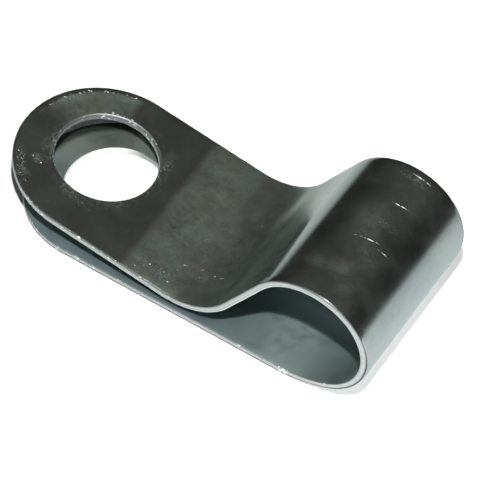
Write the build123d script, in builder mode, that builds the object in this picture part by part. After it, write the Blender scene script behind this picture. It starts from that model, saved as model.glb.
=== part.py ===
"""Tube clip: one strip of thin plated steel, bent into a loop with two bolted ears.

Millimetres and degrees. The origin is the centre of the lower bolt hole on the seating face,
+X runs along the strip to the loop, +Y across the strip and +Z up through the ears.
"""

import os

from build123d import *

# The strip as blanked: its outer face carries the rolled edge, its inner face is square
strip_width = 16.0
strip_thickness = 0.65
edge_roll = 0.22

# Bolt holes: clearance for an M8 bolt, punched a little off the middle of each round end
bolt_hole_diameter = 9.0
hole_side_shift = 0.3
hole_end_shift = 0.2

# Bends: the radius is that of the hollow side, the turn is the angle the strip goes through
tube_diameter = 10.0
loop_turn = 213.0
lead_in_radius = 11.0
lead_in_turn = 24.0
neck_bend_radius = 5.8
ear_opening_angle = 8.5

# Straight runs of the strip, the ears measured from the centre of their bolt hole
lower_ear_length = 20.9
neck_length = 5.3
upper_ear_length = 11.15

# The reverse bend at the neck brings the strip back over the lower ear, open by the ear's angle
neck_bend_turn = lead_in_turn + loop_turn - 180.0 + ear_opening_angle

half_thickness = strip_thickness / 2
strip_middle = Plane.XZ.offset(hole_side_shift)

with BuildPart() as clip:
    # Side view of the bent strip: its middle line from ear to ear, given its thickness
    with BuildSketch(strip_middle):
        with BuildLine():
            lower_ear = Line((hole_end_shift, half_thickness), (lower_ear_length, half_thickness))
            lead_in = JernArc(lower_ear @ 1, lower_ear % 1, lead_in_radius + half_thickness, lead_in_turn)
            loop = JernArc(lead_in @ 1, lead_in % 1, tube_diameter / 2 + half_thickness, loop_turn)
            neck = Line(loop @ 1, loop @ 1 + loop % 1 * neck_length)
            neck_bend = JernArc(neck @ 1, neck % 1, neck_bend_radius + half_thickness, -neck_bend_turn)
            ear_run = neck_bend % 1 * (upper_ear_length - hole_end_shift)
            upper_ear = Line(neck_bend @ 1, neck_bend @ 1 + ear_run)
        trace(line_width=strip_thickness)
    extrude(amount=strip_width / 2, both=True)

    # Full-round ends, each with its punched bolt hole
    lower_side = Plane((hole_end_shift, -hole_side_shift, 0))
    upper_end = Plane(strip_middle.from_local_coords(upper_ear @ 1))
    upper_side = upper_end.rotated((0, ear_opening_angle, 0)).offset(-half_thickness)
    for ear_underside in (lower_side, upper_side):
        with BuildSketch(ear_underside):
            Circle(strip_width / 2)
        extrude(amount=strip_thickness)
        with Locations(ear_underside):
            with Locations((-hole_end_shift, hole_side_shift)):
                Hole(bolt_hole_diameter / 2, depth=strip_thickness)

    # The roll that blanking leaves all round the outer face and on both hole rims
    seating_face = clip.faces().filter_by(lower_side).sort_by(Axis.Z)[0]
    top_face = clip.faces().filter_by(upper_side).sort_by(Axis.Z)[-1]
    rims = seating_face.edges() + top_face.edges()
    fillet(rims.filter_by(Axis.Y, reverse=True), radius=edge_roll)

clip.part.label = "clip"
os.makedirs("parts", exist_ok=True)
export_step(clip.part, "parts/clip.step")
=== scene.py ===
from math import cos, pi, radians, sin

import bmesh
import bpy
from mathutils import Matrix, Vector, noise


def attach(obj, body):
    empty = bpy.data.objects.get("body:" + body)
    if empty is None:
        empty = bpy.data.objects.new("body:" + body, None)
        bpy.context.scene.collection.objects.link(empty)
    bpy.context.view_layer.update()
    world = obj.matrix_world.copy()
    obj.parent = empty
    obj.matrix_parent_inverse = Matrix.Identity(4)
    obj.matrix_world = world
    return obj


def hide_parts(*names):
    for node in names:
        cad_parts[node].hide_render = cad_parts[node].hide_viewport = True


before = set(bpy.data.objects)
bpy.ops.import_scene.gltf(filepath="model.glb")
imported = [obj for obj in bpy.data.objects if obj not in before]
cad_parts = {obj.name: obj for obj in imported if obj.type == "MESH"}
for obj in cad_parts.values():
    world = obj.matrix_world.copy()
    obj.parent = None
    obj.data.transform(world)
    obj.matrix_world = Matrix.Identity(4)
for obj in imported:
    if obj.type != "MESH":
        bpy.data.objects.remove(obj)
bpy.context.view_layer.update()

# The clip is one strip of 0.65 mm mild steel, blanked flat with full-round ends and a bolt hole in each.
# The blanking rolls the edge of the outer face and leaves the inner face's edge square and burred.
# It is then bent round a mandrel to a loop, with its two ears lying over each other, and zinc plated.
mm = 0.001
strip_width = 16.0 * mm
strip_thickness = 0.65 * mm
half_thickness = strip_thickness / 2
edge_roll = 0.22 * mm
hole_radius = 4.5 * mm
hole_side_shift = 0.3 * mm
hole_end_shift = 0.2 * mm

# Runs of the strip from the lower bolt hole to the upper one: its length on the middle line, and its turn
strip_runs = (
    (20.9 * mm, 0.0),
    ((11.0 * mm + half_thickness) * radians(24.0), 24.0),
    ((5.0 * mm + half_thickness) * radians(213.0), 213.0),
    (5.3 * mm, 0.0),
    ((5.8 * mm + half_thickness) * radians(65.5), -65.5),
    (11.15 * mm, 0.0),
)
hole_distance = sum(length for length, turn in strip_runs)

# The flat blank: x is the length from the lower hole, y the place across, z up to the inner face. Faces are
# counted across the strip, along an ear's side, round its tip, from hole to edge, and along the body.
ear_run = 9.0 * mm
body_run = hole_distance - 2 * ear_run
across = 32
side = 44
tip = 126
rings = 14
along = 254


def ear_outline(inset):
    """The edge of one flat ear, set in by a distance, starting where the ear meets the strip."""
    half = strip_width / 2 - inset
    edge = [(ear_run, half * (2 * i / across - 1)) for i in range(across)]
    edge += [(ear_run + (hole_end_shift - ear_run) * i / side, half) for i in range(side)]
    edge += [(hole_end_shift - half * sin(pi * i / tip), half * cos(pi * i / tip)) for i in range(tip)]
    edge += [(hole_end_shift + (ear_run - hole_end_shift) * i / side, -half) for i in range(side)]
    return edge


def hole_edge(inset):
    """The edge of the bolt hole, one point towards each point of the ear's outline."""
    spokes = [Vector((x, y - hole_side_shift)).normalized() for x, y in ear_outline(0.0)]
    radius = hole_radius + inset
    return [(spoke.x * radius, spoke.y * radius + hole_side_shift) for spoke in spokes]


# Section of a sheared edge, from the outer face in: how far in from the edge, and the depth. The face
# sinks a little and rolls over to the wall, and tumbling has rounded the burr off the inner arris.
sink_width = 0.75 * mm
sink = 0.05 * mm
lean = 2 * sink / sink_width
inner_round = 0.10 * mm
sink_steps = 4
roll_steps = 8
round_steps = 4
sink_run = sink_width - edge_roll
sink_shares = [k / sink_steps for k in range(sink_steps)]
roll_turns = [lean + (pi / 2 - lean) * k / roll_steps for k in range(roll_steps + 1)]
round_turns = [pi / 2 / round_steps * k for k in range(round_steps + 1)]
sink_rows = [(edge_roll + sink_run * (1 - share), sink * share ** 2) for share in sink_shares]
roll_rows = [(edge_roll * (1 - sin(a)), edge_roll * (cos(lean) - cos(a))) for a in roll_turns]
wall_rows = [(inner_round * (1 - cos(a)), strip_thickness - inner_round * (1 - sin(a))) for a in round_turns]
outline_section = sink_rows + [(inset, sink + depth) for inset, depth in roll_rows] + wall_rows
hole_section = roll_rows + wall_rows

# Bands of faces, one to a finish. The outer face's band takes in the sink and the start of the roll, down to
# its last row of the section.
outer_face = 0
sheared_edge = 1
inner_face = 2
last_face_row = 6

# Knocks on the sheared outline: broad dents and small nicks, wherever a fixed noise rises past a level
dent_size = 0.6 * mm
dent_depth = 0.04 * mm
dent_level = 0.1
nick_size = 0.3 * mm
nick_depth = 0.05 * mm
nick_level = 0.3
nick_layer = 5.0 * mm


def nicked(x, y, share):
    """A point of the sheared outline, pressed in a little where the edge has been knocked."""
    dent = max(0.0, noise.noise(Vector((x, y, 0.0)) / dent_size) - dent_level)
    nick = max(0.0, noise.noise(Vector((x, y, nick_layer)) / nick_size) - nick_level)
    hollow = dent_depth * share * dent + nick_depth * share * nick
    from_end = min(x, hole_distance - x)
    inward = Vector((hole_end_shift - from_end, -y)) if from_end < hole_end_shift else Vector((0.0, -y))
    inward.normalize()
    if x > hole_distance / 2:
        inward.x = -inward.x
    return x + inward.x * hollow, y + inward.y * hollow


blank_shape = bmesh.new()
flat_place = blank_shape.verts.layers.float_vector.new("blank")
edge_band = blank_shape.faces.layers.int.new("edge_band")


def lay_sheet(rows, closed, band):
    """Joins rows of flat points into faces, each row a list of (x, y, z)."""
    knots = []
    for row in rows:
        knots.append([])
        for x, y, z in row:
            knot = blank_shape.verts.new((x, y - hole_side_shift, z))
            knot[flat_place] = (x, y, z)
            knots[-1].append(knot)
    for low, high in zip(knots, knots[1:]):
        count = len(low) if closed else len(low) - 1
        for i in range(count):
            j = (i + 1) % len(low)
            blank_shape.faces.new((low[i], low[j], high[j], high[i]))[edge_band] = band


def lay_outline(outline_at):
    """Lays the sheared wall along a stretch of the outline, which outline_at gives for each inset."""
    wall = []
    for inset, depth in outline_section:
        share = 1.0 if sink < depth < strip_thickness else 0.0
        row = [nicked(x, y, share) for x, y in outline_at(inset)]
        wall.append([(x, y, depth - half_thickness) for x, y in row])
    lay_sheet(wall[:last_face_row + 1], False, outer_face)
    lay_sheet(wall[last_face_row:], False, sheared_edge)


def ear_points(points, far_end):
    """Points of the lower ear, or the same points turned round to the upper ear at the far end."""
    return [(hole_distance - x if far_end else x, y) for x, y in points]


body_places = [ear_run + body_run * k / along for k in range(along + 1)]
for level, band in ((0, outer_face), (-1, inner_face)):
    inset, depth = outline_section[level]
    height = depth - half_thickness
    half = strip_width / 2 - inset
    body = []
    for x in body_places:
        body.append([(x, half * (2 * i / across - 1), height) for i in range(across + 1)])
    lay_sheet(body, False, band)
    spokes = list(zip(hole_edge(hole_section[level][0]), ear_outline(inset)))
    for far_end in (False, True):
        ear = []
        for k in range(rings + 1):
            ring = [(a[0] + (b[0] - a[0]) * k / rings, a[1] + (b[1] - a[1]) * k / rings) for a, b in spokes]
            ear.append([(x, y, height) for x, y in ear_points(ring, far_end)])
        lay_sheet(ear, True, band)
for far_end in (False, True):
    wall = []
    for inset, depth in hole_section:
        wall.append([(x, y, depth - half_thickness) for x, y in ear_points(hole_edge(inset), far_end)])
    lay_sheet(wall, True, sheared_edge)
    lay_outline(lambda inset: ear_points(ear_outline(inset)[across:] + ear_outline(inset)[:1], far_end))
for hand in (-1, 1):
    lay_outline(lambda inset: [(x, hand * (strip_width / 2 - inset)) for x in body_places])
merge_distance = 0.0005 * mm
bmesh.ops.remove_doubles(blank_shape, verts=blank_shape.verts, dist=merge_distance)
bmesh.ops.recalc_face_normals(blank_shape, faces=blank_shape.faces)
for face in blank_shape.faces:
    face.smooth = True
    face.material_index = face[edge_band]
blank_mesh = bpy.data.meshes.new("clip_blank")
blank_shape.to_mesh(blank_mesh)
blank_shape.free()
clip_strip = bpy.data.objects.new("clip_strip", blank_mesh)
bpy.context.scene.collection.objects.link(clip_strip)

# The bending line: straight along the lower ear, round the lead-in and the loop, and back over the ear
place = Vector((0.0, 0.0, half_thickness))
heading = 0.0
bending_points = [place - Vector((strip_width, 0.0, 0.0)), place.copy()]
for length, turn in strip_runs:
    steps = max(1, round(abs(turn)))
    for step in range(steps):
        middle = heading + radians(turn) * (step + 0.5) / steps
        place += Vector((cos(middle), 0.0, sin(middle))) * length / steps
        bending_points.append(place.copy())
    heading += radians(turn)
bending_points.append(place + Vector((cos(heading), 0.0, sin(heading))) * strip_width)
bending_curve = bpy.data.curves.new("bending_line", "CURVE")
bending_curve.dimensions = "3D"
bending_spline = bending_curve.splines.new("POLY")
bending_spline.points.add(len(bending_points) - 1)
for point, where in zip(bending_spline.points, bending_points):
    point.co = (*where, 1.0)
bending_line = bpy.data.objects.new("bending_line", bending_curve)
bpy.context.scene.collection.objects.link(bending_line)


def add_node(tree, kind, inputs=None, **settings):
    """Adds a node with its settings. Inputs gives a socket a value, an output, or a node for its first
    output in use."""
    made = tree.nodes.new(kind)
    for name, value in settings.items():
        setattr(made, name, value)
    for name, value in (inputs or {}).items():
        if isinstance(value, bpy.types.Node):
            value = next(output for output in value.outputs if output.enabled)
        if isinstance(value, bpy.types.NodeSocket):
            tree.links.new(value, made.inputs[name])
        else:
            made.inputs[name].default_value = value
    return made


def linear(hex_colour):
    """An sRGB hex colour as linear red, green, blue and full alpha."""
    parts = [int(hex_colour[i:i + 2], 16) / 255 for i in (1, 3, 5)]
    return [c / 12.92 if c <= 0.04045 else ((c + 0.055) / 1.055) ** 2.4 for c in parts] + [1.0]


def lay_marks(tree, place, marks, full_at, gone_at=1.2, fade="LINEAR"):
    """The strongest of several oval marks at a place. Each mark is its length along the strip, its place
    across, its half length and half width in mm, its turn in degrees and its strength. A mark has its full
    strength within the share full_at of its half sizes, and fades to nothing at the share gone_at."""
    strongest = None
    for length, place_across, half_length, half_width, turn, strength in marks:
        middle = (length * mm, place_across * mm, 0.0)
        shrink = (1 / (half_length * mm), 1 / (half_width * mm), 0.0)
        centred = add_node(tree, "ShaderNodeVectorMath", {0: place, 1: middle}, operation="SUBTRACT")
        turned = add_node(
            tree, "ShaderNodeVectorRotate",
            {"Vector": centred, "Angle": radians(turn)}, rotation_type="Z_AXIS",
        )
        scaled = add_node(tree, "ShaderNodeVectorMath", {0: turned, 1: shrink}, operation="MULTIPLY")
        reach = add_node(tree, "ShaderNodeVectorMath", {0: scaled}, operation="LENGTH")
        mark = add_node(
            tree, "ShaderNodeMapRange",
            {"Value": reach, "From Min": gone_at, "From Max": full_at, "To Max": strength},
            interpolation_type=fade,
        )
        if strongest is None:
            strongest = mark
        else:
            strongest = add_node(tree, "ShaderNodeMath", {0: strongest, 1: mark}, operation="MAXIMUM")
    return strongest


# Zinc plate on the outer face of cold-rolled strip: a dark mirror of the room with a faint blue cast.
# A thin oxide film, heaviest where the press gripped and hands rubbed, blooms grey-green under the lamp.
zinc_face = bpy.data.materials.new("zinc_plated_rolled_face")
zinc_face.use_nodes = True
tree = zinc_face.node_tree
tree.nodes.clear()
flat = add_node(tree, "ShaderNodeAttribute", attribute_name="blank").outputs["Vector"]
flat_parts = add_node(tree, "ShaderNodeSeparateXYZ", {"Vector": flat})
length_at = flat_parts.outputs["X"]
across_at = flat_parts.outputs["Y"]
clouds = add_node(
    tree, "ShaderNodeTexNoise",
    {"Vector": flat, "Scale": 1 / (3.6 * mm), "Detail": 6.0, "Roughness": 0.6, "Distortion": 0.4},
)
wisps = add_node(
    tree, "ShaderNodeTexNoise",
    {"Vector": flat, "Scale": 1 / (0.9 * mm), "Detail": 4.0, "Roughness": 0.6, "Distortion": 1.2},
)
mottle = add_node(tree, "ShaderNodeTexNoise", {"Vector": flat, "Scale": 1 / (0.3 * mm), "Detail": 2.0})

# How the film lies along the strip: thick and ending sharply where the press gripped the ear, thinner through
# the neck's bend, which stretching has also roughened. Each stop is a length in mm, the film and the
# roughness, and the ramp carries these two as red and green.
film_stops = (
    (43.6, 0.0, 0.13), (46.0, 0.45, 0.20), (50.0, 0.6, 0.35), (53.5, 0.45, 0.33),
    (58.5, 1.0, 0.22), (61.8, 1.0, 0.20), (62.4, 0.0, 0.13),
)
film_from = 40.0
film_run = 40.0
mirror_roughness = 0.13
grip_waviness = 0.8
grip_slant = -0.05
waved_from = film_from + grip_waviness / 2
grip_skew = add_node(
    tree, "ShaderNodeMath", {0: across_at, 1: grip_slant, 2: length_at}, operation="MULTIPLY_ADD",
)
grip_wave = add_node(
    tree, "ShaderNodeMath", {0: wisps, 1: grip_waviness * mm, 2: grip_skew}, operation="MULTIPLY_ADD",
)
film_place = add_node(
    tree, "ShaderNodeMapRange",
    {"Value": grip_wave, "From Min": waved_from * mm, "From Max": (waved_from + film_run) * mm},
)
film_ramp = add_node(tree, "ShaderNodeValToRGB", {"Fac": film_place})
for stop in film_ramp.color_ramp.elements:
    stop.color = (0.0, mirror_roughness, 0.0, 1.0)
for length, thickness, dullness in film_stops:
    stop = film_ramp.color_ramp.elements.new((length - film_from) / film_run)
    stop.color = (thickness, dullness, 0.0, 1.0)
along_strip = add_node(tree, "ShaderNodeSeparateColor", {"Color": film_ramp})

# A second patch lies between the upper hole and the far edge of its ear, about a fifth of the way round
upper_hole = (hole_distance, hole_side_shift, 0.0)
from_hole = add_node(tree, "ShaderNodeVectorMath", {0: flat, 1: upper_hole}, operation="SUBTRACT")
hole_parts = add_node(tree, "ShaderNodeSeparateXYZ", {"Vector": from_hole})
round_hole = add_node(
    tree, "ShaderNodeMath", {0: hole_parts.outputs["Y"], 1: hole_parts.outputs["X"]}, operation="ARCTAN2",
)
hole_reach = add_node(tree, "ShaderNodeVectorMath", {0: from_hole}, operation="LENGTH")
patch_edge = add_node(
    tree, "ShaderNodeMapRange",
    {"Value": round_hole, "From Min": radians(84.0), "From Max": radians(76.0)},
    interpolation_type="SMOOTHSTEP",
)
patch_fade = add_node(
    tree, "ShaderNodeMapRange",
    {"Value": round_hole, "From Min": radians(-3.0), "From Max": radians(26.0)},
    interpolation_type="SMOOTHSTEP",
)
patch_rim = add_node(
    tree, "ShaderNodeMapRange", {"Value": hole_reach, "From Min": 7.15 * mm, "From Max": 6.95 * mm},
)
patch_lip = add_node(
    tree, "ShaderNodeMapRange",
    {"Value": hole_reach, "From Min": 6.1 * mm, "From Max": 7.0 * mm, "To Min": 1.0, "To Max": 1.7},
)
patch_side = add_node(tree, "ShaderNodeMath", {0: patch_edge, 1: patch_fade}, operation="MULTIPLY")
patch_body = add_node(tree, "ShaderNodeMath", {0: patch_side, 1: patch_rim}, operation="MULTIPLY")
patch = add_node(tree, "ShaderNodeMath", {0: patch_body, 1: patch_lip}, operation="MULTIPLY")
gripped = add_node(
    tree, "ShaderNodeMath", {0: along_strip.outputs["Red"], 1: patch}, operation="MAXIMUM",
)

# Finger smudges on top of the loop, at the ear's tip and beside its hole, ragged at their edges
smudges = (
    (39.6, -4.7, 1.2, 1.1, 0.0, 0.6), (41.6, -4.8, 1.0, 0.9, 0.0, 0.5), (38.6, -6.0, 0.9, 1.0, 0.0, 0.2),
    (40.2, 1.4, 1.6, 2.4, 0.0, 0.3), (73.3, -3.7, 0.6, 0.45, 0.0, 0.7), (73.4, -5.5, 0.9, 0.35, 0.0, 0.7),
    (64.8, 3.1, 0.7, 1.7, 0.0, 0.65),
)
ragged = 1.6 * mm
frayed = add_node(
    tree, "ShaderNodeVectorMath",
    {0: wisps.outputs["Color"], 1: (ragged, ragged, 0.0), 2: flat}, operation="MULTIPLY_ADD",
)
frayed_place = add_node(
    tree, "ShaderNodeVectorMath", {0: frayed, 1: (ragged / 2, ragged / 2, 0.0)}, operation="SUBTRACT",
)
smudged = lay_marks(tree, frayed_place, smudges, full_at=0.2, fade="SMOOTHSTEP")
dulled = add_node(tree, "ShaderNodeMath", {0: gripped, 1: smudged}, operation="MAXIMUM")

# A worn ring round the upper hole, where a washer has turned, and thin clouds everywhere
thin_cover = 0.28
ring_near = add_node(
    tree, "ShaderNodeMapRange", {"Value": hole_reach, "From Min": 5.7 * mm, "From Max": 4.6 * mm},
)
ring_specks = add_node(
    tree, "ShaderNodeMapRange", {"Value": mottle, "From Min": 0.44, "From Max": 0.64, "To Max": 1.5},
)
ring_patches = add_node(tree, "ShaderNodeMapRange", {"Value": clouds, "From Min": 0.44, "From Max": 0.58})
ring_worn = add_node(tree, "ShaderNodeMath", {0: ring_near, 1: ring_specks}, operation="MULTIPLY")
worn = add_node(tree, "ShaderNodeMath", {0: ring_worn, 1: ring_patches}, operation="MULTIPLY")
cloudy = add_node(tree, "ShaderNodeMapRange", {"Value": clouds, "From Min": 0.32, "From Max": 0.68})
wispy = add_node(
    tree, "ShaderNodeMapRange",
    {"Value": wisps, "From Min": 0.3, "From Max": 0.7, "To Min": 0.65, "To Max": 1.35},
)
film_clouds = add_node(tree, "ShaderNodeMapRange", {"Value": cloudy, "To Min": 0.6, "To Max": 1.3})
film_thick = add_node(tree, "ShaderNodeMath", {0: dulled, 1: film_clouds}, operation="MULTIPLY")
film_worn = add_node(tree, "ShaderNodeMath", {0: film_thick, 1: worn}, operation="MAXIMUM")
thin_film = add_node(tree, "ShaderNodeMath", {0: cloudy, 1: thin_cover}, operation="MULTIPLY")
whole_film = add_node(tree, "ShaderNodeMath", {0: film_worn, 1: thin_film}, operation="ADD")
film = add_node(tree, "ShaderNodeMath", {0: whole_film, 1: wispy}, operation="MULTIPLY")

# Scraped places, bare and white: scuffs along the loop from the bending tool, and specks on the ear
scuffs = (
    (38.95, 3.65, 0.72, 0.055, 10.0, 1.0), (39.4, -0.9, 1.0, 0.045, 14.0, 1.0),
    (37.9, -1.1, 0.6, 0.02, 4.0, 1.0), (38.9, 7.15, 0.8, 0.06, 0.0, 1.0),
    (53.8, -4.5, 0.28, 0.04, 20.0, 1.0), (56.1, -4.2, 0.25, 0.03, 30.0, 1.0),
    (57.6, -4.6, 0.25, 0.03, 20.0, 1.0), (54.5, 4.5, 0.06, 0.06, 0.0, 1.0),
    (54.1, 2.3, 0.07, 0.06, 0.0, 1.0), (54.6, -4.4, 0.08, 0.08, 0.0, 1.0),
    (55.8, -5.0, 0.07, 0.06, 0.0, 1.0), (57.8, -5.4, 0.09, 0.05, 0.0, 1.0),
    (57.8, -6.9, 0.07, 0.06, 0.0, 1.0), (58.1, -6.2, 0.1, 0.08, 0.0, 1.0),
    (58.6, -6.3, 0.06, 0.05, 0.0, 1.0), (59.9, -6.4, 0.07, 0.06, 0.0, 1.0),
    (60.8, -7.3, 0.07, 0.06, 0.0, 1.0), (61.0, -6.6, 0.08, 0.06, 0.0, 1.0),
    (69.6, 4.98, 0.12, 0.1, 0.0, 1.0), (71.2, 4.52, 0.14, 0.1, 0.0, 1.0),
    (71.7, 4.32, 0.12, 0.09, 0.0, 1.0), (72.7, -6.2, 0.08, 0.06, 0.0, 1.0),
    (72.8, -3.9, 0.1, 0.09, 0.0, 1.0), (73.7, -3.7, 0.1, 0.08, 0.0, 1.0),
    (74.2, 5.15, 0.14, 0.09, 0.0, 1.0), (75.0, -4.05, 0.1, 0.08, 0.0, 1.0),
    (75.2, -3.7, 0.08, 0.06, 0.0, 1.0),
)
white = lay_marks(tree, flat, scuffs, full_at=0.4)
skips = add_node(
    tree, "ShaderNodeMapRange",
    {"Value": mottle, "From Min": 0.42, "From Max": 0.56, "To Min": 0.05, "To Max": 1.0},
)
scraped = add_node(tree, "ShaderNodeMath", {0: white, 1: skips}, operation="MULTIPLY")

# Chips along the lip of the patch and on the far rim of the upper hole
chip_line = add_node(
    tree, "ShaderNodeMath", {0: hole_reach, 1: 7.1 * mm, 2: 0.08 * mm}, operation="COMPARE",
)
chip_side = add_node(tree, "ShaderNodeMath", {0: patch_side, 1: chip_line}, operation="MULTIPLY")
rim_line = add_node(tree, "ShaderNodeMath", {0: hole_reach, 1: 4.68 * mm, 2: 0.1 * mm}, operation="COMPARE")
rim_side = add_node(
    tree, "ShaderNodeMath", {0: round_hole, 1: radians(68.0), 2: radians(16.0)}, operation="COMPARE",
)
rim_chips = add_node(tree, "ShaderNodeMath", {0: rim_line, 1: rim_side}, operation="MULTIPLY")
chip_places = add_node(tree, "ShaderNodeMath", {0: chip_side, 1: rim_chips}, operation="MAXIMUM")
chip_hits = add_node(tree, "ShaderNodeMapRange", {"Value": mottle, "From Min": 0.56, "From Max": 0.66})
chips = add_node(tree, "ShaderNodeMath", {0: chip_places, 1: chip_hits}, operation="MULTIPLY")

# Pale dust and rubbed grains, in clusters near the ear's edges and round the scuffs
dust_clusters = (
    (74.1, -5.0, 2.0, 0.45, -52.0, 0.6), (73.3, -3.7, 0.6, 0.5, 0.0, 0.35),
    (69.0, -4.75, 2.2, 0.5, -12.0, 0.34), (64.4, 2.5, 0.5, 1.4, 0.0, 0.34),
    (75.2, 3.2, 0.9, 0.3, 60.0, 0.5), (59.4, -6.5, 2.6, 0.8, 0.0, 0.25),
    (73.3, -1.3, 0.3, 0.5, 0.0, 0.35), (39.5, 6.8, 1.5, 0.5, 0.0, 0.28),
    (39.0, 1.3, 1.3, 0.5, 0.0, 0.13), (38.6, -2.1, 1.0, 0.6, 0.0, 0.10),
    (40.0, -0.6, 0.9, 0.4, 0.0, 0.14),
)
dust = add_node(tree, "ShaderNodeTexNoise", {"Vector": flat, "Scale": 1 / (0.16 * mm), "Detail": 1.0})
dust_hits = add_node(tree, "ShaderNodeMapRange", {"Value": dust, "From Min": 0.52, "From Max": 0.74})
dust_near = lay_marks(tree, flat, dust_clusters, full_at=0.2)
dusted = add_node(tree, "ShaderNodeMath", {0: dust_near, 1: dust_hits}, operation="MULTIPLY")
scraped_chips = add_node(tree, "ShaderNodeMath", {0: scraped, 1: chips}, operation="MAXIMUM")
bare = add_node(tree, "ShaderNodeMath", {0: scraped_chips, 1: dusted}, operation="MAXIMUM")

# The plate's own tone, darker over the shoulder of the loop as painted shade that dims what that side
# mirrors, under the film, a dark patch of painted shade on the neck, and bare marks.
# Each stop is a length in mm and its tone. A Mix node's sockets 2 and 3 take numbers, and 6 and 7 colours.
# The darker stops from 32.4 to 36.8 mm are painted shade over the loop's shoulder
plate_and_shade_stops = (
    (32.4, "#8a9293"), (33.5, "#7d8485"), (34.5, "#6c7374"), (36.8, "#757c7b"), (39.0, "#98a09f"),
)
plate_from = 30.0
plate_run = 10.0
# A dark patch on the far side of the neck: painted shade that dims the bend's reflection there
neck_shade_patch = (53.05, 5.4, 0.9, 2.9, 0.0, 0.55)
bare_metallic = 0.1
cloud_roughness = 0.05
plate_place = add_node(
    tree, "ShaderNodeMapRange",
    {"Value": length_at, "From Min": plate_from * mm, "From Max": (plate_from + plate_run) * mm},
)
plate_tone_and_shade = add_node(tree, "ShaderNodeValToRGB", {"Fac": plate_place})
plate_tone_and_shade.color_ramp.elements[0].color = linear("#8a9293")
plate_tone_and_shade.color_ramp.elements[1].color = linear("#98a09f")
for length, hex_colour in plate_and_shade_stops:
    plate_tone_and_shade.color_ramp.elements.new((length - plate_from) / plate_run).color = linear(hex_colour)
tints = add_node(tree, "ShaderNodeTexNoise", {"Vector": flat, "Scale": 1 / (2.4 * mm), "Detail": 3.0})
tint_share = add_node(tree, "ShaderNodeMapRange", {"Value": tints, "From Min": 0.35, "From Max": 0.65})
film_tint = add_node(
    tree, "ShaderNodeMix", {0: tint_share, 6: linear("#96a59f"), 7: linear("#9ba498")}, data_type="RGBA",
)
filmed = add_node(tree, "ShaderNodeMix", {0: film, 6: plate_tone_and_shade, 7: film_tint}, data_type="RGBA")
painted_neck_shade = lay_marks(tree, flat, (neck_shade_patch,), full_at=0.2, fade="SMOOTHSTEP")
neck_shaded = add_node(
    tree, "ShaderNodeMix", {0: painted_neck_shade, 6: filmed, 7: linear("#343937")}, data_type="RGBA",
)
tone = add_node(tree, "ShaderNodeMix", {0: bare, 6: neck_shaded, 7: linear("#e6e8e4")}, data_type="RGBA")
filmed_metal = add_node(
    tree, "ShaderNodeMapRange", {"Value": film, "From Max": 2.0, "To Min": 0.99, "To Max": 0.79},
)
metal = add_node(tree, "ShaderNodeMix", {0: bare, 2: filmed_metal, 3: bare_metallic})
side_rough = add_node(
    tree, "ShaderNodeMapRange",
    {"Value": length_at, "From Min": 31.0 * mm, "From Max": 38.0 * mm, "To Min": 0.20, "To Max": 0.0},
    interpolation_type="SMOOTHSTEP",
)
strip_rough = add_node(
    tree, "ShaderNodeMath", {0: along_strip.outputs["Green"], 1: side_rough}, operation="ADD",
)
rough = add_node(
    tree, "ShaderNodeMath", {0: cloudy, 1: cloud_roughness, 2: strip_rough}, operation="MULTIPLY_ADD",
)
grain = add_node(
    tree, "ShaderNodeBump", {"Height": mottle, "Strength": 0.015, "Distance": 0.05 * mm},
)
surface = add_node(
    tree, "ShaderNodeBsdfPrincipled",
    {
        "Base Color": tone, "Metallic": metal, "Roughness": rough, "Normal": grain,
        "Specular Tint": linear("#c8cccc"),
    },
)
add_node(tree, "ShaderNodeOutputMaterial", {"Surface": surface})

# Zinc plate on the inner face, which nothing has rubbed: matt blue-grey, clouded as it dried from the bath.
# White bloom makes it duller and paler, most of all at the lower ear's end, at the foot of the loop and from
# the loop's side on.
zinc_inside = bpy.data.materials.new("zinc_plated_matt_inner_face")
zinc_inside.use_nodes = True
tree = zinc_inside.node_tree
tree.nodes.clear()
flat = add_node(tree, "ShaderNodeAttribute", attribute_name="blank").outputs["Vector"]
flat_parts = add_node(tree, "ShaderNodeSeparateXYZ", {"Vector": flat})
length_at = flat_parts.outputs["X"]
across_at = flat_parts.outputs["Y"]
clouds = add_node(
    tree, "ShaderNodeTexNoise",
    {"Vector": flat, "Scale": 1 / (3.0 * mm), "Detail": 5.0, "Roughness": 0.6, "Distortion": 0.6},
)

# How the bloom lies along the strip: each stop is a length in mm and the bloom there
bloom_stops = (
    (-8.0, 0.85), (-3.0, 0.75), (6.0, 0.5), (13.0, 0.28), (17.0, 0.5), (20.0, 0.84),
    (22.2, 0.94), (24.5, 0.62), (26.7, 0.34), (29.0, 0.38), (33.0, 0.9),
)
bloom_from = -10.0
bloom_run = 50.0
bloom_place = add_node(
    tree, "ShaderNodeMapRange",
    {"Value": length_at, "From Min": bloom_from * mm, "From Max": (bloom_from + bloom_run) * mm},
)
bloom_ramp = add_node(tree, "ShaderNodeValToRGB", {"Fac": bloom_place})
bloom_ramp.color_ramp.elements[0].color = (0.85, 0.85, 0.85, 1.0)
bloom_ramp.color_ramp.elements[1].color = (0.9, 0.9, 0.9, 1.0)
for length, amount in bloom_stops:
    stop = bloom_ramp.color_ramp.elements.new((length - bloom_from) / bloom_run)
    stop.color = (amount, amount, amount, 1.0)
cloudy = add_node(
    tree, "ShaderNodeMapRange",
    {"Value": clouds, "From Min": 0.32, "From Max": 0.68, "To Min": 0.6, "To Max": 1.3},
)
bloom = add_node(tree, "ShaderNodeMath", {0: bloom_ramp, 1: cloudy}, operation="MULTIPLY")
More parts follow.
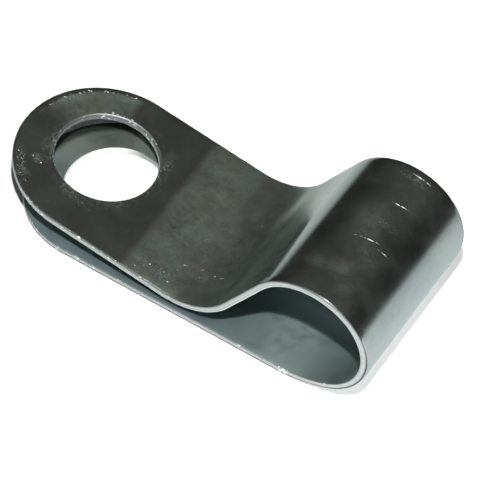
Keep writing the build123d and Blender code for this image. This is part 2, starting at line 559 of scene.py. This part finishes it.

# Flaky stains: each is a mark, and the bloom that it adds between its flakes and in them. Below zero, it
# takes bloom away. The last mark, along the lower ear under the upper ear's edge, is painted shade for that
# ear's soft shadow.
flaky_stains_and_shade = (
    ((21.2, -5.0, 2.6, 2.4, 0.0, 1.0), -0.06, 0.2),
    ((-4.4, 4.9, 3.4, 2.8, 0.0, 1.0), -0.35, -0.2),
    # painted shade under the upper ear's near edge
    ((6.0, -5.4, 10.0, 2.3, 0.0, 1.0), -0.3, -0.2),
)
flakes = add_node(
    tree, "ShaderNodeTexNoise", {"Vector": flat, "Scale": 1 / (1.3 * mm), "Detail": 3.0, "Distortion": 0.8},
)
for mark, low, high in flaky_stains_and_shade:
    stain = lay_marks(tree, flat, (mark,), full_at=0.5, fade="SMOOTHSTEP")
    flake = add_node(
        tree, "ShaderNodeMapRange",
        {"Value": flakes, "From Min": 0.48, "From Max": 0.54, "To Min": low, "To Max": high},
    )
    bloom = add_node(tree, "ShaderNodeMath", {0: stain, 1: flake, 2: bloom}, operation="MULTIPLY_ADD")
metal = add_node(tree, "ShaderNodeMapRange", {"Value": bloom, "To Min": 1.0, "To Max": 0.55})

# Paler deep in the loop, painted light that lifts the lamp's shadow there; greyer at the far end of the lower
# ear; and darker along that end's rim, painted shadow that widens the upper ear's shadow on it
in_loop = add_node(
    tree, "ShaderNodeMapRange", {"Value": length_at, "From Min": 14.0 * mm, "From Max": 22.0 * mm},
)
deep_inside = add_node(
    tree, "ShaderNodeMapRange", {"Value": across_at, "From Min": -3.4 * mm, "From Max": -1.2 * mm},
)
on_far_side = add_node(
    tree, "ShaderNodeMapRange", {"Value": across_at, "From Min": -1.0 * mm, "From Max": 1.5 * mm},
)
on_lower_end = add_node(
    tree, "ShaderNodeMapRange", {"Value": length_at, "From Min": 4.0 * mm, "From Max": 0.0},
)
lower_hole = (0.0, hole_side_shift, 0.0)
hole_reach = add_node(tree, "ShaderNodeVectorMath", {0: flat, 1: lower_hole}, operation="DISTANCE")
rim_near = add_node(
    tree, "ShaderNodeMapRange",
    {"Value": hole_reach, "From Min": 6.3 * mm, "From Max": 7.0 * mm}, interpolation_type="SMOOTHSTEP",
)
# Deep in the loop the tint is paler where the lamp's shadow falls: painted light
painted_light_in_shadow = add_node(tree, "ShaderNodeMath", {0: deep_inside, 1: in_loop}, operation="MULTIPLY")
ear_end = add_node(tree, "ShaderNodeMath", {0: on_far_side, 1: on_lower_end}, operation="MULTIPLY")
# A dark band along the lower ear's far rim: painted shadow, widening the upper ear's shadow on the lower ear
painted_rim_shadow = add_node(tree, "ShaderNodeMath", {0: rim_near, 1: ear_end}, operation="MULTIPLY")
run_tint = add_node(
    tree, "ShaderNodeMix", {0: in_loop, 6: linear("#7a898c"), 7: linear("#7d8d89")}, data_type="RGBA",
)
loop_tint_with_painted_light = add_node(
    tree, "ShaderNodeMix", {0: painted_light_in_shadow, 6: run_tint, 7: linear("#9ca9aa")}, data_type="RGBA",
)
end_tint = add_node(
    tree, "ShaderNodeMix", {0: ear_end, 6: loop_tint_with_painted_light, 7: linear("#828a84")}, data_type="RGBA",
)
rim_shadow_tint = add_node(
    tree, "ShaderNodeMix", {0: painted_rim_shadow, 6: end_tint, 7: linear("#3e4640")}, data_type="RGBA",
)
surface = add_node(
    tree, "ShaderNodeBsdfPrincipled",
    {"Base Color": rim_shadow_tint, "Metallic": metal, "Roughness": 0.5, "Specular Tint": linear("#c8cccc")},
)
add_node(tree, "ShaderNodeOutputMaterial", {"Surface": surface})

# Sheared edge, plated over: bright and satin, with fine streaks through the thickness from the punch.
# Knocks on the ears are painted pale as sparkle, and one side of the lower hole's wall is painted white, as
# painted light.
zinc_edge = bpy.data.materials.new("zinc_plated_sheared_edge")
zinc_edge.use_nodes = True
tree = zinc_edge.node_tree
tree.nodes.clear()
flat = add_node(tree, "ShaderNodeAttribute", attribute_name="blank").outputs["Vector"]
flat_parts = add_node(tree, "ShaderNodeSeparateXYZ", {"Vector": flat})
length_at = flat_parts.outputs["X"]
streak_scale = (1 / (0.12 * mm), 1 / (0.12 * mm), 1 / (1.5 * mm))
streak_place = add_node(tree, "ShaderNodeMapping", {"Vector": flat, "Scale": streak_scale})
streaks = add_node(tree, "ShaderNodeTexNoise", {"Vector": streak_place, "Scale": 1.0, "Detail": 2.0})
satin = add_node(
    tree, "ShaderNodeMapRange",
    {"Value": streaks, "From Min": 0.3, "From Max": 0.7, "To Min": 0.46, "To Max": 0.6},
)
streak_relief = add_node(
    tree, "ShaderNodeBump", {"Height": streaks, "Strength": 0.1, "Distance": 0.02 * mm},
)

# Where a place lies: how far from the loop, in a hole, in the upper one, or on the tip's side of the lower
from_loop = add_node(tree, "ShaderNodeMath", {0: length_at, 1: hole_distance / 2}, operation="SUBTRACT")
from_middle = add_node(tree, "ShaderNodeMath", {0: from_loop}, operation="ABSOLUTE")
on_ears = add_node(
    tree, "ShaderNodeMapRange", {"Value": from_middle, "From Min": 20.0 * mm, "From Max": 31.0 * mm},
)
either_ear = add_node(tree, "ShaderNodeCombineXYZ", {"X": from_middle, "Y": flat_parts.outputs["Y"]})
either_hole = (hole_distance / 2, hole_side_shift, 0.0)
hole_away = add_node(tree, "ShaderNodeVectorMath", {0: either_ear, 1: either_hole}, operation="DISTANCE")
in_hole = add_node(
    tree, "ShaderNodeMapRange", {"Value": hole_away, "From Min": 4.9 * mm, "From Max": 4.7 * mm},
)
hole_tip_side = add_node(
    tree, "ShaderNodeMapRange", {"Value": length_at, "From Min": -0.2 * mm, "From Max": -2.0 * mm},
)
# One side of the lower hole's wall is painted white: painted light
painted_bright_hole_wall = add_node(tree, "ShaderNodeMath", {0: in_hole, 1: hole_tip_side}, operation="MULTIPLY")
on_upper_ear = add_node(
    tree, "ShaderNodeMath", {0: length_at, 1: hole_distance / 2}, operation="GREATER_THAN",
)
in_upper_hole = add_node(tree, "ShaderNodeMath", {0: in_hole, 1: on_upper_ear}, operation="MULTIPLY")

# Tone through the thickness: dark at the roll, painted shade along the outer arris, satin down the wall, a
# duller line where the metal tore, and pale at the inner arris. On the lower run the dark line is widened as
# a painted contact shadow, and the holes' walls don't have it. Each stop is a share of the thickness and its
# tone.
contact_shade_shift = 0.24
dark_line = 0.28
depth_stops = (
    (0.12, "#3c4240"), (0.20, "#8c9290"), (0.30, "#a0a6a4"), (0.62, "#a6acaa"), (0.74, "#868c8a"),
    (0.86, "#c0c6c4"),
)
depth_place = add_node(
    tree, "ShaderNodeMapRange",
    {"Value": flat_parts.outputs["Z"], "From Min": -half_thickness, "From Max": half_thickness},
)
no_roll = add_node(tree, "ShaderNodeMath", {0: in_hole, 1: dark_line}, operation="MULTIPLY")
contact_shaded = add_node(
    tree, "ShaderNodeMapRange",
    {"Value": length_at, "From Min": 28.0 * mm, "From Max": 34.0 * mm, "To Min": contact_shade_shift, "To Max": 0.0},
)
contact_shaded_depth = add_node(tree, "ShaderNodeMath", {0: depth_place, 1: contact_shaded}, operation="SUBTRACT")
ramp_depth = add_node(tree, "ShaderNodeMath", {0: contact_shaded_depth, 1: no_roll}, operation="MAXIMUM")
depth_ramp = add_node(tree, "ShaderNodeValToRGB", {"Fac": ramp_depth})
depth_ramp.color_ramp.elements[0].color = linear("#3c4240")
depth_ramp.color_ramp.elements[1].color = linear("#bcc2c0")
for depth, hex_colour in depth_stops:
    depth_ramp.color_ramp.elements.new(depth).color = linear(hex_colour)
# The upper hole's wall is a flat darker grey: painted shade inside the hole
upper_hole_shaded_tone = add_node(
    tree, "ShaderNodeMix", {0: in_upper_hole, 6: depth_ramp, 7: linear("#868c8a")}, data_type="RGBA",
)

# Bright places: knocks painted pale as sparkle, one side of the lower hole's wall painted white as painted
# light, and three nicks on the near edge. Each nick is its length along the strip and its reach in mm, and is
# brightest within a share of that reach.
nicks = ((21.8, 0.6), (25.8, 0.2), (17.6, 0.25))
nick_heart = 0.6
knocks = add_node(tree, "ShaderNodeTexNoise", {"Vector": flat, "Scale": 1 / (0.28 * mm), "Detail": 2.0})
hits = add_node(tree, "ShaderNodeMapRange", {"Value": knocks, "From Min": 0.62, "From Max": 0.7})
# Knocks on the ears are painted pale: painted sparkle on partly real knocks
painted_knock_sparkle = add_node(tree, "ShaderNodeMath", {0: hits, 1: on_ears}, operation="MULTIPLY")
marks_and_painted_light = add_node(tree, "ShaderNodeMath", {0: painted_knock_sparkle, 1: painted_bright_hole_wall}, operation="MAXIMUM")
nick_grain = add_node(tree, "ShaderNodeMapRange", {"Value": knocks, "From Min": 0.44, "From Max": 0.56})
for length, size in nicks:
    nick_middle = (length * mm, -strip_width / 2, half_thickness)
    nick_away = add_node(tree, "ShaderNodeVectorMath", {0: flat, 1: nick_middle}, operation="DISTANCE")
    nick = add_node(
        tree, "ShaderNodeMapRange",
        {"Value": nick_away, "From Min": size * mm, "From Max": nick_heart * size * mm},
    )
    nick_hits = add_node(tree, "ShaderNodeMath", {0: nick, 1: nick_grain}, operation="MULTIPLY")
    marks_and_painted_light = add_node(
        tree, "ShaderNodeMath", {0: marks_and_painted_light, 1: nick_hits}, operation="MAXIMUM", use_clamp=True,
    )
edge_tone = add_node(
    tree, "ShaderNodeMix", {0: marks_and_painted_light, 6: upper_hole_shaded_tone, 7: linear("#e6e8e4")}, data_type="RGBA",
)
edge_metal = add_node(tree, "ShaderNodeMapRange", {"Value": marks_and_painted_light, "To Min": 1.0, "To Max": 0.5})
surface = add_node(
    tree, "ShaderNodeBsdfPrincipled",
    {"Base Color": edge_tone, "Metallic": edge_metal, "Roughness": satin, "Normal": streak_relief},
)
add_node(tree, "ShaderNodeOutputMaterial", {"Surface": surface})
for finish in (zinc_face, zinc_edge, zinc_inside):
    clip_strip.data.materials.append(finish)

# Forming: each point of the flat blank goes to its length along the bending line, square off it
forming = bpy.data.node_groups.new("form_strip_on_bending_line", "GeometryNodeTree")
forming.interface.new_socket("Flat blank", in_out="INPUT", socket_type="NodeSocketGeometry")
line_input = forming.interface.new_socket("Bending line", in_out="INPUT", socket_type="NodeSocketObject")
start_input = forming.interface.new_socket(
    "Line before the hole", in_out="INPUT", socket_type="NodeSocketFloat",
)
forming.interface.new_socket("Formed strip", in_out="OUTPUT", socket_type="NodeSocketGeometry")
given = add_node(forming, "NodeGroupInput")
spot = add_node(forming, "GeometryNodeInputPosition")
parts = add_node(forming, "ShaderNodeSeparateXYZ", {"Vector": spot})
line_run = add_node(
    forming, "ShaderNodeMath",
    {0: parts.outputs["X"], 1: given.outputs["Line before the hole"]}, operation="ADD",
)
line_shape = add_node(forming, "GeometryNodeObjectInfo", {"Object": given.outputs["Bending line"]})
on_line = add_node(
    forming, "GeometryNodeSampleCurve",
    {"Curves": line_shape.outputs["Geometry"], "Length": line_run}, mode="LENGTH", use_all_curves=True,
)
square = add_node(
    forming, "ShaderNodeVectorMath",
    {0: on_line.outputs["Tangent"], 1: (0.0, 1.0, 0.0)}, operation="CROSS_PRODUCT",
)
lift = add_node(forming, "ShaderNodeVectorMath", {0: square, "Scale": parts.outputs["Z"]}, operation="SCALE")
aside = add_node(forming, "ShaderNodeCombineXYZ", {"Y": parts.outputs["Y"]})
raised = add_node(
    forming, "ShaderNodeVectorMath", {0: on_line.outputs["Position"], 1: lift}, operation="ADD",
)
formed = add_node(forming, "ShaderNodeVectorMath", {0: raised, 1: aside}, operation="ADD")
bent = add_node(
    forming, "GeometryNodeSetPosition", {"Geometry": given.outputs["Flat blank"], "Position": formed},
)
whole = add_node(forming, "GeometryNodeRealizeInstances", {"Geometry": bent})
band_of = add_node(forming, "GeometryNodeInputNamedAttribute", {"Name": "edge_band"}, data_type="INT")
finished = add_node(forming, "GeometryNodeSetMaterial", {"Geometry": whole, "Material": zinc_face})
for band, finish in ((sheared_edge, zinc_edge), (inner_face, zinc_inside)):
    on_band = add_node(
        forming, "FunctionNodeCompare",
        {2: band_of.outputs["Attribute"], 3: band}, data_type="INT", operation="EQUAL",
    )
    finished = add_node(
        forming, "GeometryNodeSetMaterial", {"Geometry": finished, "Selection": on_band, "Material": finish},
    )
add_node(forming, "NodeGroupOutput", {"Formed strip": finished})
bending = clip_strip.modifiers.new("forming", "NODES")
bending.node_group = forming
bending[line_input.identifier] = bending_line
bending[start_input.identifier] = strip_width
bpy.context.view_layer.update()
depsgraph = bpy.context.evaluated_depsgraph_get()
formed_mesh = bpy.data.meshes.new_from_object(
    clip_strip.evaluated_get(depsgraph), preserve_all_data_layers=True, depsgraph=depsgraph,
)
formed_mesh.name = "clip_strip"
clip_strip.modifiers.remove(bending)
clip_strip.data = formed_mesh
bpy.data.objects.remove(bending_line)
formed_mesh.set_sharp_from_angle(angle=radians(50.0))
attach(clip_strip, "root")
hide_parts("clip")

# The table: a sheet of matt white card, large enough to fill what the steel mirrors below the horizon.
# It lies flat just under the seating face. Away from the clip it is evened to white for the camera alone,
# as the background of a catalogue picture is, and the steel still mirrors how the lamp's light falls off.
card_half = 1.5
card_drop = 0.02 * mm
card_shape = bmesh.new()
bmesh.ops.create_grid(card_shape, x_segments=8, y_segments=8, size=card_half)
card_mesh = bpy.data.meshes.new("white_card")
card_shape.to_mesh(card_mesh)
card_shape.free()
card_mesh.transform(Matrix.Translation((0.0, 0.0, -card_drop)))
white_card = bpy.data.objects.new("white_card", card_mesh)
bpy.context.scene.collection.objects.link(white_card)
card_finish = bpy.data.materials.new("matt_white_card")
card_finish.use_nodes = True
tree = card_finish.node_tree
tree.nodes.clear()
clip_middle = (12.0 * mm, -2.0 * mm, 0.0)
spot = add_node(tree, "ShaderNodeTexCoord")
clip_away = add_node(
    tree, "ShaderNodeVectorMath", {0: spot.outputs["Object"], 1: clip_middle}, operation="DISTANCE",
)
evened = add_node(
    tree, "ShaderNodeMapRange",
    {"Value": clip_away, "From Min": 20.0 * mm, "From Max": 66.0 * mm, "To Max": 0.95},
)
seen = add_node(tree, "ShaderNodeLightPath")
glow = add_node(tree, "ShaderNodeMath", {0: evened, 1: seen.outputs["Is Camera Ray"]}, operation="MULTIPLY")
surface = add_node(
    tree, "ShaderNodeBsdfPrincipled",
    {
        "Base Color": linear("#fafafa"), "Roughness": 0.9, "Specular IOR Level": 0.1,
        "Emission Color": linear("#fafafa"), "Emission Strength": glow,
    },
)
add_node(tree, "ShaderNodeOutputMaterial", {"Surface": surface})
card_mesh.materials.append(card_finish)

# The light: a dim warm room, paler overhead, which the steel mirrors and matt surfaces get a tenth of.
# One small soft lamp is held over the line of sight, a little nearer than the camera. Its light falls off
# over the card, and the clip shades its own inside. A weak low fill on the right lifts the loop's shadow.
room = bpy.data.worlds.new("dim_room")
bpy.context.scene.world = room
room.use_nodes = True
tree = room.node_tree
tree.nodes.clear()
seen = add_node(tree, "ShaderNodeLightPath")
way = add_node(tree, "ShaderNodeTexCoord")
way_parts = add_node(tree, "ShaderNodeSeparateXYZ", {"Vector": way.outputs["Generated"]})
overhead = add_node(
    tree, "ShaderNodeMapRange",
    {"Value": way_parts.outputs["Z"], "From Min": 0.25, "From Max": 0.78, "To Min": 0.36, "To Max": 1.0},
    interpolation_type="SMOOTHSTEP",
)
matt_share = add_node(
    tree, "ShaderNodeMapRange", {"Value": seen.outputs["Is Diffuse Ray"], "To Min": 1.0, "To Max": 0.1},
)
room_light = add_node(tree, "ShaderNodeMath", {0: overhead, 1: matt_share}, operation="MULTIPLY")
dim = add_node(
    tree, "ShaderNodeBackground", {"Color": (0.094, 0.086, 0.073, 1.0), "Strength": room_light},
)
pale = add_node(tree, "ShaderNodeBackground", {"Color": (0.95, 0.95, 0.95, 1.0), "Strength": 1.0})
both = add_node(tree, "ShaderNodeMixShader", {0: seen.outputs["Is Camera Ray"], 1: dim, 2: pale})
add_node(tree, "ShaderNodeOutputWorld", {"Surface": both})

# Each lamp: the place in mm that it is aimed at, its bearing and height in degrees, its distance and size in
# metres, its power in watts, and whether the steel mirrors it
lamps = (
    ("soft_lamp", (22.0, -8.0, 8.0), 22.6, 63.3, 0.16, 0.006, 0.41, True),
    ("low_fill", (28.0, 0.0, 3.0), 84.0, 18.0, 0.12, 0.06, 0.30, False),
)


def way_to(bearing, height):
    """The direction from the clip at a bearing round from the front and a height above the table."""
    return Vector((sin(bearing) * cos(height), -cos(bearing) * cos(height), sin(height)))


for name, aimed_at, bearing, height, distance, size, power, mirrored in lamps:
    lamp = bpy.data.lights.new(name, "AREA")
    lamp.shape = "DISK"
    lamp.size = size
    lamp.energy = power
    lamp_stand = bpy.data.objects.new(name, lamp)
    lamp_way = way_to(radians(bearing), radians(height))
    lamp_stand.location = Vector(aimed_at) * mm + lamp_way * distance
    lamp_stand.rotation_euler = lamp_way.to_track_quat("Z", "Y").to_euler()
    lamp_stand.visible_glossy = mirrored
    bpy.context.scene.collection.objects.link(lamp_stand)
bpy.context.scene.view_settings.view_transform = "Standard"

# The camera: a long lens looking down on the near side of the clip, tilted a little to the left.
# The point that it looks at is half a pixel off the middle of the frame.
looking_at = Vector((13.463, -1.9155, 4.8)) * mm
bearing = radians(27.743)
height = radians(49.882)
tilt = radians(-5.930)
camera_distance = 178.54 * mm
half_pixel = 0.041 * mm
right = Vector((cos(bearing), sin(bearing), 0.0))
back = way_to(bearing, height)
down = right.cross(back)
right_tilted = right * cos(tilt) + down * sin(tilt)
down_tilted = down * cos(tilt) - right * sin(tilt)
looking_at -= (right_tilted + down_tilted) * half_pixel
eye = bpy.data.cameras.new("camera")
eye.sensor_width = 36.0
eye.lens = 163.76
eye.clip_start = 0.01
camera = bpy.data.objects.new("camera", eye)
axes = Matrix((right_tilted, -down_tilted, back)).transposed()
camera.matrix_world = Matrix.Translation(looking_at + back * camera_distance) @ axes.to_4x4()
bpy.context.scene.collection.objects.link(camera)
bpy.context.scene.camera = camera
